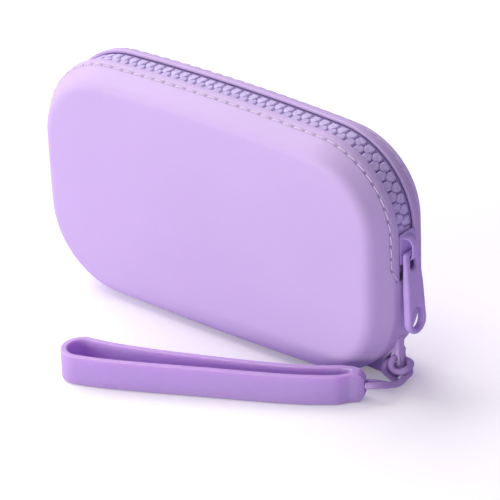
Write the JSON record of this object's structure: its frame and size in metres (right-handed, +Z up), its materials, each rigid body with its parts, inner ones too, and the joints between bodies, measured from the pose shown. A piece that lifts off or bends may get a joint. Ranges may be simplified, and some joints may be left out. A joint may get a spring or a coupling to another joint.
{
  "type": "silicone makeup bag",
  "caption": "Flat soft-touch silicone pouch with rounded corners, a sewn-in moulded-tooth zip over the top, slider with pull tab, and a wrist strap hitched to a corner lug.",
  "frame": {"origin": "middle of the flattened foot that the bag stands on", "axes": "+X along the bag's length towards the zip's closed end, the lug and the strap; the front face looks along -Y; +Z up"},
  "size_m": [0.1385, 0.0744, 0.0793],
  "materials": {
    "silicone": "matte soft-touch silicone",
    "strap": "satin silicone",
    "tape": "woven polyester zip tape",
    "teeth": "moulded plastic teeth",
    "slider": "lacquered zinc casting"
  },
  "bodies": {
    "bag": {"bag_shell": "silicone", "front_tape": "tape", "back_tape": "tape", "front_teeth": "teeth", "back_teeth": "teeth", "front_end_stop": "teeth", "back_end_stop": "teeth", "open_end_stop": "teeth"},
    "slider": {"slider": "slider"},
    "pull": {"zip_pull": "slider"},
    "link": {"hitch_loop": "strap"},
    "strap": {"wrist_strap": "strap"}
  },
  "joints": [
    {"name": "slider_travel", "type": "hinge", "parent": "bag", "child": "slider", "pos_m": [0.0398, 0, 0.05052], "axis": [0, -1, 0], "range_deg": [0, 85], "deforming": ["front_teeth", "back_teeth", "front_tape", "back_tape"]},
    {"name": "pull_swing", "type": "hinge", "parent": "slider", "child": "pull", "pos_m": [0.06868, 0, 0.04462], "axis": [0, -1, 0], "range_deg": [0, 145]},
    {"name": "strap_swing", "type": "hinge", "parent": "bag", "child": "link", "pos_m": [0.0624, -0.003, 0], "axis": [0, 0, 1], "range_deg": [-12, 55], "deforming": ["hitch_loop"]},
    {"name": "strap_lift", "type": "hinge", "parent": "link", "child": "strap", "pos_m": [0.0628, -0.0158, 0.00475], "axis": [-0.4147, 0.91, 0], "range_deg": [0, 90], "deforming": ["hitch_loop"]}
  ]
}
